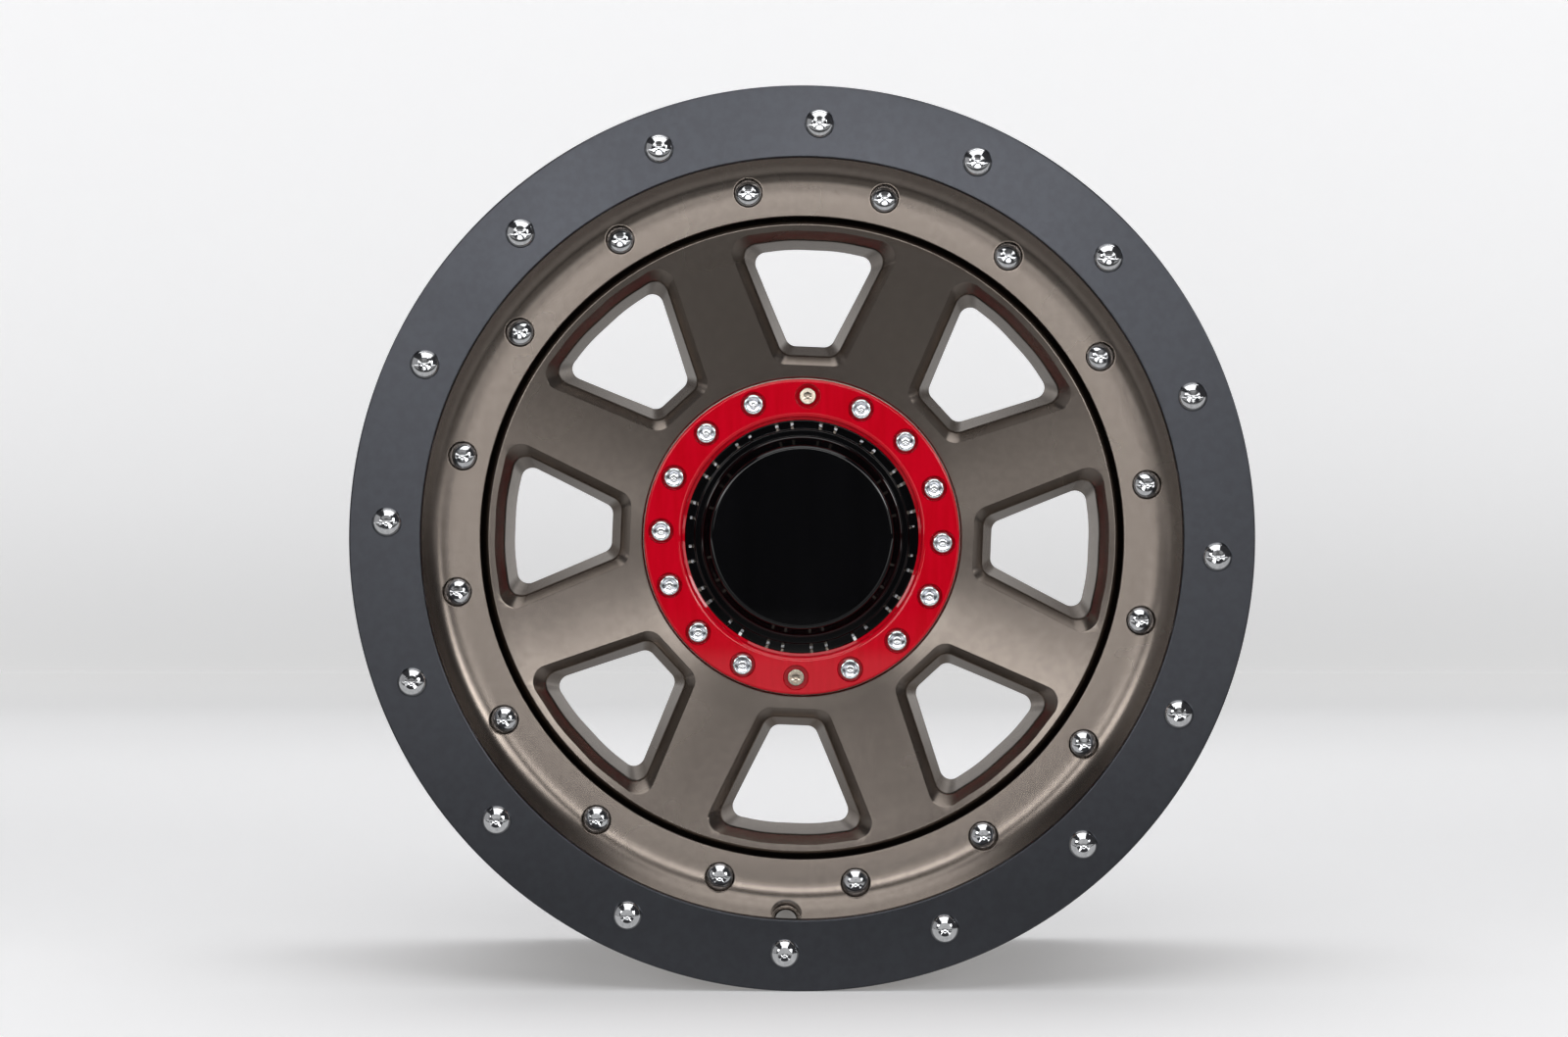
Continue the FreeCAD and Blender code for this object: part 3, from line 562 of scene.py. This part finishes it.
def makeValveCutter():
    seat, hole, relief = valve["reach"], valve["hole"], valve["relief"]
    chamfer, back, end = valve["chamfer"], valve["reach"] + valve["wall"], valve["reach"] * 2
    outline = [(0.0, 0.0), (valve["spotface"], 0.0), (valve["spotface"], seat, 0.6, 3),
               (hole + chamfer, seat), (hole, seat + chamfer), (hole, back), (relief, back),
               (relief, end), (0.0, end)]
    cutter = turned("valveCutter", outline, cutterSteps)
    tilt = Matrix.Rotation(math.radians(valve["tilt"]), 4, "X")
    place = point(valve["radius"], valve["depth"])
    cutter.data.transform(Matrix.Translation(place) @ tilt @ Matrix.Translation(-point(0, seat)))
    cutter.data.transform(Matrix.Rotation(math.radians(valve["turn"]), 4, "Y"))
    return cutter


cutAway(wheelCasting, makeValveCutter())
smooth(wheelCasting, 30)
finishPiece(wheelCasting, bronzePaint, "wheel_casting")


# The trim ring and the button-head bolts in it and in the lip

trimRingValues = {
    "steps": 288,
    "outline": [(198.3, 0.0, 0.9, 4), (235.6, 0.0, 0.9, 4), (235.6, 8.0, 0.3, 2), (198.3, 8.0, 0.3, 2)],
}
trimRing = turned("trimRing", trimRingValues["outline"], trimRingValues["steps"])
smooth(trimRing)
finishPiece(trimRing, slatePaint, "trim_ring")

trimRingBolt = {
    "circle": 216.0,
    "seat": 0.0,
    "radius": 7.7,
    "height": 4.4,
    "skirt": 0.7,
    "topRadius": 3.6,
    "cupRadius": 3.2,
    "cupDepth": 1.0,
    "socketAcross": 3.6,
    "socketDepth": 2.6,
    "socketTurn": 17,
    "shankRadius": 4.0,
    "shankLength": 18.0,
}
lipBolt = dict(trimRingBolt, circle=182.8, seat=20.2, height=4.6, shankRadius=0.0)  # heads alone


# Points of the dome from its flat top down to its skirt, as radius and height above the seat
def domeCorners(values, count=9):
    low, high = (values["radius"], values["skirt"]), (values["topRadius"], values["height"])
    centre = (high[0] ** 2 + high[1] ** 2 - low[0] ** 2 - low[1] ** 2) / (2 * (high[1] - low[1]))
    ball = math.hypot(low[0], low[1] - centre)
    first, last = math.asin(high[0] / ball), math.asin(low[0] / ball)
    angles = [first + (last - first) * k / count for k in range(count + 1)]
    return [(ball * math.sin(angle), centre + ball * math.cos(angle)) for angle in angles]


# A hexagonal socket's cutter, from above a head's top to its depth. Its deep end runs to a point, like
# a drilled one.
def makeSocket(values, top):
    across, start, end = values["socketAcross"], top - 1.0, top + values["socketDepth"]
    bpy.ops.object.select_all(action="DESELECT")
    bpy.ops.mesh.primitive_cylinder_add(
        vertices=6, radius=across / 2000 / math.cos(math.pi / 6), depth=(end - start) / 1000,
        location=point(values["circle"], (start + end) / 2),
        rotation=(math.radians(90), math.radians(values["socketTurn"]), 0))
    socket = bpy.context.object
    applyPlace(socket)
    mesh = editing(socket)
    deep = (end - mountingDepth) / 1000
    for face in mesh.faces:
        face.select = all(abs(v.co.y - deep) < mergeGap for v in face.verts)
    bmesh.update_edit_mesh(socket.data)
    bpy.ops.mesh.poke(offset=across / 3500)
    doneEditing()
    return socket


# A head turned round its own axis from a profile of radii and depths below its top, with a socket
def makeHead(name, values, profile):
    top = values["seat"] - values["height"]
    head = turned(name, setBack(profile, top), headSteps, axisRadius=values["circle"])
    cutAway(head, makeSocket(values, top))
    smooth(head, 35)
    return head


# A bolt's profile: its cupped top, the dome down to the skirt, and the shank where it has one
def boltProfile(values):
    height, shank = values["height"], values["shankRadius"]
    profile = [(0.0, values["cupDepth"]), (values["cupRadius"], 0.1, 0.25, 3)]
    profile += [(radius, height - above) for radius, above in domeCorners(values)]
    profile += [(values["radius"], height, 0.1, 2)]
    if shank:
        end = height + values["shankLength"]
        return profile + [(shank, height), (shank, end), (0.0, end)]
    return profile + [(0.0, height)]


trimRingTurns = [360 / boltCount * k for k in range(boltCount)]
trimRingBolts = copyRound(
    makeHead("trimRingBolts", trimRingBolt, boltProfile(trimRingBolt)), trimRingTurns)
finishPiece(trimRingBolts, chromePlate, "trim_ring_bolts")
lipBolts = copyRound(makeHead("lipBolts", lipBolt, boltProfile(lipBolt)), boltTurns)
finishPiece(lipBolts, chromePlate, "lip_bolts")
print("wheel: trim ring and bolts made")


# The hub ring with its studs and screws

# A seat flares at the ring's face, which rounds its edge: radius and depth behind the face
seatProfile = [(0.0, -2.0), (8.9, -2.0), (6.85, 0.05, 0.3, 3), (6.5, 0.6, 0.2, 2), (6.5, 3.6, 0.3, 3)]
hubRingValues = {
    "steps": 240,
    "outline": [(63.4, 44.0, 2.4, 8), (83.5, 44.0, 1.3, 5), (83.5, 52.0, 0.3, 2), (61.9, 52.0, 0.2, 2),
                (61.9, 50.8, 0.2, 2), (63.4, 50.2, 0.2, 2)],
    "front": 44.0,
    "circle": 74.5,
    "headCount": 16,      # two of the heads are screws, the rest are studs
    "studSeat": seatProfile + [(0.0, 3.6)],
    "screwSeat": seatProfile + [(2.9, 3.6), (2.9, 10.0), (0.0, 10.0)],
}
screwTurns = [0.0, 180.0]
headTurns = [360 / hubRingValues["headCount"] * k for k in range(hubRingValues["headCount"])]
studTurns = [turn for turn in headTurns if turn not in screwTurns]


def makeSeatCutter(profile):
    outline = setBack(profile, hubRingValues["front"])
    return turned("seatCutter", outline, cutterSteps, axisRadius=hubRingValues["circle"])


hubRing = turned("hubRing", hubRingValues["outline"], hubRingValues["steps"])
cutAway(hubRing, copyRound(makeSeatCutter(hubRingValues["studSeat"]), studTurns))
cutAway(hubRing, copyRound(makeSeatCutter(hubRingValues["screwSeat"]), screwTurns))
smooth(hubRing)
finishPiece(hubRing, redEnamel, "hub_ring")

stud = {
    "circle": hubRingValues["circle"],
    "seat": 47.6,
    "height": 5.0,
    "profile": [          # a button, the groove round it, and the rim
        (0.0, 0.7), (2.3, 0.7, 0.5, 4), (2.6, 2.4), (3.75, 0.9, 0.3, 3), (4.25, 0.0, 0.35, 4),
        (5.2, 0.5, 0.4, 4), (5.35, 5.0), (0.0, 5.0)],
    "socketAcross": 2.4,
    "socketDepth": 2.2,
    "socketTurn": 12,
}
hubRingStuds = copyRound(makeHead("hubRingStuds", stud, stud["profile"]), studTurns)
finishPiece(hubRingStuds, chromePlate, "hub_ring_studs")

screw = {
    "circle": hubRingValues["circle"],
    "seat": 47.6,
    "height": 2.8,
    "profile": [          # a plain head and its shank
        (0.0, 0.0), (4.5, 0.0, 0.6, 4), (4.5, 2.8, 0.2, 2), (2.5, 2.8), (2.5, 17.2, 0.4, 2), (0.0, 17.2)],
    "socketAcross": 4.4,
    "socketDepth": 2.2,
    "socketTurn": 0,
}
hubRingScrews = copyRound(makeHead("hubRingScrews", screw, screw["profile"]), screwTurns)
finishPiece(hubRingScrews, champagnePlate, "hub_ring_screws")
print("wheel: hub ring made")


# The centre cap with its crown of fingers

cap = {
    "steps": 256,
    "outline": [
        (0.0, 41.0), (48.2, 41.0, 1.5, 6), (52.2, 50.6, 0.6, 4), (53.4, 51.0, 0.5, 4),
        (53.4, 54.0, 0.3, 3), (56.6, 54.0, 0.2, 2), (57.2, 54.5, 0.2, 2), (61.8, 54.5, 0.4, 3),
        (62.3, 55.0, 0.3, 3), (62.3, 67.0, 0.4, 3), (60.3, 67.0, 0.4, 3), (60.3, 56.6, 0.6, 3),
        (51.0, 56.6, 0.6, 3), (45.8, 43.4, 1.0, 3), (0.0, 43.4)],
    "postCount": 16,
    "slotMiddle": (60.5, 60.0),
    "slotSize": (1.6, 20.0, 6.6),  # across, along the axis and outwards
    "slotAngle": 3.9,     # degrees from the middle of a post to the slots beside it
}
centreCap = turned("centreCap", cap["outline"], cap["steps"])


# A narrow slot's cutter at the crown
def makeSlotCutter(turn):
    bpy.ops.object.select_all(action="DESELECT")
    bpy.ops.mesh.primitive_cube_add(size=1.0, location=point(*cap["slotMiddle"]))
    cutter = bpy.context.object
    cutter.name = "slotCutter"
    cutter.scale = [size / 1000 for size in cap["slotSize"]]
    applyPlace(cutter)
    cutter.rotation_euler.y = math.radians(turn)
    applyPlace(cutter)
    return cutter


postTurns = [360 / cap["postCount"] * (k + 0.5) for k in range(cap["postCount"])]
for side in (-cap["slotAngle"], cap["slotAngle"]):
    cutAway(centreCap, copyRound(makeSlotCutter(side), postTurns))
smooth(centreCap, 35)
finishPiece(centreCap, glossBlack, "centre_cap")

# The spring ring behind the cap keeps its own shape
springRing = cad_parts["cap_spring_ring"]
springRing.data.materials.clear()
springRing.data.materials.append(springSteel)
print("wheel: cap made")


# Floor, backdrop, lights and camera

studio = {                # metres
    "floor": -0.2356,
    "front": 4.8,
    "backdropStart": 3.0,
    "backdropRadius": 1.5,
    "backdropHeight": 4.0,
    "width": 12.0,
    "paperTone": (0.80, 0.80, 0.81, 1),
    "room": (0.034, 0.034, 0.03672, 1),
    "roomSeen": (0.86, 0.86, 0.87, 1),
    "seen": (             # painted light: the glow the camera sees on the paper, by the distance from the wheel
        (0.0, 0.19), (0.3, 0.20), (0.9, 0.24), (1.9, 0.38), (3.5, 0.77), (4.1, 0.70), (4.55, 0.74),
        (4.95, 0.82), (5.2, 0.86), (6.5, 0.92)),
    "paintedReflection": (         # painted reflection: the glow the wheel mirrors in the paper, bands of light and dark by the place from front to back
        (-4.8, 0.05), (-3.7, 0.12), (-3.3, 0.52), (-2.4, 0.60), (-2.0, 1.65), (-1.3, 1.65), (-1.1, 0.08),
        (-0.80, 0.08), (-0.70, 0.30), (-0.52, 0.30), (-0.46, 0.04), (-0.36, 0.04), (-0.30, 0.49),
        (0.2, 0.42), (1.0, 0.60), (2.0, 0.85), (4.5, 0.95)),
}


# A floor that curves up into a wall behind the wheel
def makeBackdrop():
    bpy.ops.object.select_all(action="DESELECT")
    bpy.ops.mesh.primitive_plane_add(size=1.0, location=(0, 0, studio["floor"]))
    backdrop = bpy.context.object
    backdrop.name = "backdrop"
    depth = studio["front"] + studio["backdropStart"]
    backdrop.scale = (studio["width"], depth, 1)
    backdrop.location.y = studio["backdropStart"] - depth / 2
    applyPlace(backdrop)
    mesh = editing(backdrop)
    for edge in mesh.edges:
        edge.select = all(v.co.y > studio["backdropStart"] - 0.01 for v in edge.verts)
    bmesh.update_edit_mesh(backdrop.data)
    centre = (0, studio["backdropStart"], studio["floor"] + studio["backdropRadius"])
    bpy.ops.mesh.spin(steps=32, angle=math.radians(90), center=centre, axis=(1, 0, 0))
    bpy.ops.mesh.extrude_region_move(TRANSFORM_OT_translate={"value": (0, 0, studio["backdropHeight"])})
    bpy.ops.mesh.select_all(action="SELECT")
    bpy.ops.mesh.normals_make_consistent(inside=True)
    doneEditing()
    smooth(backdrop)
    return backdrop


# Grey tones at given distances in metres along the floor and up the backdrop
def toneRamp(tree, distance, tones, place):
    start, end = tones[0][0], tones[-1][0]
    share = mapValue(tree, distance, 0.0, 1.0, (place[0] - 200, place[1]), start, end)
    ramp = node(tree, "ShaderNodeValToRGB", place)
    tree.links.new(share, ramp.inputs["Fac"])
    stops = ramp.color_ramp.elements
    for stop, (_, value) in zip((stops[0], stops[1]), (tones[0], tones[-1])):
        stop.color = (value, value, value, 1)
    for spot, value in tones[1:-1]:
        stops.new((spot - start) / (end - start)).color = (value, value, value, 1)
    return ramp.outputs["Color"]


# White paper. For the camera it glows with painted light on top of how it is lit, dim near the wheel and
# brighter further off, and mirrored in the wheel it shows a painted
# reflection instead: bands of painted light and dark that stand in for the lit floor and the dark front of a
# studio. From behind it is clear.
def makeBackdropFinish():
    material = bpy.data.materials.new("backdropPaper")
    material.use_nodes = True
    material.cycles.emission_sampling = "NONE"  # the paper is seen, but lights nothing
    tree = material.node_tree
    shader = tree.nodes["Principled BSDF"]
    shader.inputs["Base Color"].default_value = studio["paperTone"]
    shader.inputs["Roughness"].default_value = 0.9
    shader.inputs["Specular IOR Level"].default_value = 0.1
    path = node(tree, "ShaderNodeLightPath", (-700, 300))
    place = node(tree, "ShaderNodeTexCoord", (-1100, -100))
    split = node(tree, "ShaderNodeSeparateXYZ", (-900, -100))
    tree.links.new(place.outputs["Object"], split.inputs["Vector"])
    up = node(tree, "ShaderNodeMath", (-900, -250), operation="SUBTRACT")
    up.inputs[1].default_value = studio["floor"]
    tree.links.new(split.outputs["Z"], up.inputs[0])
    along = node(tree, "ShaderNodeMath", (-800, -250), operation="ADD")
    tree.links.new(split.outputs["Y"], along.inputs[0])
    tree.links.new(up.outputs["Value"], along.inputs[1])
    spot = node(tree, "ShaderNodeCombineXYZ", (-900, -500))
    tree.links.new(split.outputs["X"], spot.inputs["X"])
    tree.links.new(along.outputs["Value"], spot.inputs["Y"])
    away = node(tree, "ShaderNodeVectorMath", (-800, -500), operation="LENGTH")
    tree.links.new(spot.outputs["Vector"], away.inputs[0])
    # Painted light: for camera rays the paper glows by this ramp, by the distance from the wheel, on top of
    # how it is lit
    seen = toneRamp(tree, away.outputs["Value"], studio["seen"], (-500, -100))
    tree.links.new(seen, shader.inputs["Emission Color"])
    tree.links.new(path.outputs["Is Camera Ray"], shader.inputs["Emission Strength"])
    # Painted reflection: for glossy rays the paper glows in these bands of light and dark instead of its lit
    # colour
    reflection = toneRamp(tree, along.outputs["Value"], studio["paintedReflection"], (-500, -400))
    paintedReflection = node(tree, "ShaderNodeEmission", (-200, -400))
    tree.links.new(reflection, paintedReflection.inputs["Color"])
    blend = node(tree, "ShaderNodeMixShader", (300, 200))
    tree.links.new(path.outputs["Is Glossy Ray"], blend.inputs["Fac"])
    tree.links.new(shader.outputs["BSDF"], blend.inputs[1])
    tree.links.new(paintedReflection.outputs["Emission"], blend.inputs[2])
    side = node(tree, "ShaderNodeNewGeometry", (300, 500))
    clear = node(tree, "ShaderNodeBsdfTransparent", (300, 0))
    front = node(tree, "ShaderNodeMixShader", (550, 200))
    tree.links.new(side.outputs["Backfacing"], front.inputs["Fac"])
    tree.links.new(blend.outputs["Shader"], front.inputs[1])
    tree.links.new(clear.outputs["BSDF"], front.inputs[2])
    tree.links.new(front.outputs["Shader"], tree.nodes["Material Output"].inputs["Surface"])
    return material


backdrop = makeBackdrop()
backdrop.data.materials.append(makeBackdropFinish())

world = bpy.data.worlds.new("studio")
scene.world = world
world.use_nodes = True
tree = world.node_tree
background = tree.nodes["Background"]
path = node(tree, "ShaderNodeLightPath", (-500, 200))
shade = node(tree, "ShaderNodeMix", (-250, 0), data_type="RGBA")
shade.inputs["A"].default_value = studio["room"]
shade.inputs["B"].default_value = studio["roomSeen"]
tree.links.new(path.outputs["Is Camera Ray"], shade.inputs["Factor"])
tree.links.new(shade.outputs["Result"], background.inputs["Color"])

# Soft boxes: place and aim in metres, width, height and brightness, where 1 is white
softBoxes = {
    "frontStrip": ((0.0, -2.9, 0.33), (0.0, 0.0, 0.0), 0.90, 0.34, 6.8),
    "frontLeft": ((-0.72, -2.79, 0.29), (0.0, 0.0, 0.0), 0.70, 0.58, 1.5),
    "frontRight": ((0.72, -2.79, 0.29), (0.0, 0.0, 0.0), 0.70, 0.58, 0.8),
    "leftBox": ((-1.62, -2.21, 0.865), (0.0, 0.0, 0.0), 1.43, 0.58, 4.3),
    "rightBox": ((1.33, -2.41, 0.865), (0.0, 0.0, 0.0), 0.70, 0.58, 4.0),
    "farRightBox": ((1.88, -1.98, 0.865), (0.0, 0.0, 0.0), 0.70, 0.58, 7.6),
    "lowRightBox": ((1.97, -2.07, 0.29), (0.0, 0.0, 0.0), 0.70, 0.58, 1.7),
    "highBox": ((0.0, -2.15, 1.90), (0.0, 0.0, 0.0), 2.00, 1.10, 1.7),
    "overBox": ((0.0, -0.47, 0.87), (0.0, -0.47, 0.0), 1.00, 0.65, 1.5),
    "topBox": ((0.0, 1.10, 2.3), (0.0, 0.95, 0.0), 2.8, 2.2, 2.2),
    "leftWall": ((-1.7, -0.5, 0.4), (0.0, -0.1, 0.0), 1.3, 1.2, 0.3),
}


def softBox(name, place, target, width, height, brightness):
    lamp = bpy.data.lights.new(name, "AREA")
    lamp.shape = "RECTANGLE"
    lamp.size, lamp.size_y = width, height
    lamp.energy = brightness * math.pi * width * height
    holder = bpy.data.objects.new(name, lamp)
    scene.collection.objects.link(holder)
    holder.location = place
    aim = Vector(target) - Vector(place)
    holder.rotation_euler = aim.to_track_quat("-Z", "Y").to_euler()


for name, values in softBoxes.items():
    softBox(name, *values)

view = {"place": (-0.0094, -2.6963, 0.0709), "pitch": -1.335, "lens": 113.924}
camera = bpy.data.cameras.new("photoCamera")
cameraHolder = bpy.data.objects.new("photoCamera", camera)
scene.collection.objects.link(cameraHolder)
cameraHolder.location = view["place"]
cameraHolder.rotation_euler = (math.radians(90 + view["pitch"]), 0, 0)
camera.lens = view["lens"]
camera.sensor_width = 36.0
camera.clip_end = 50
scene.camera = cameraHolder
scene.view_settings.view_transform = "Standard"

print("wheel: scene ready")
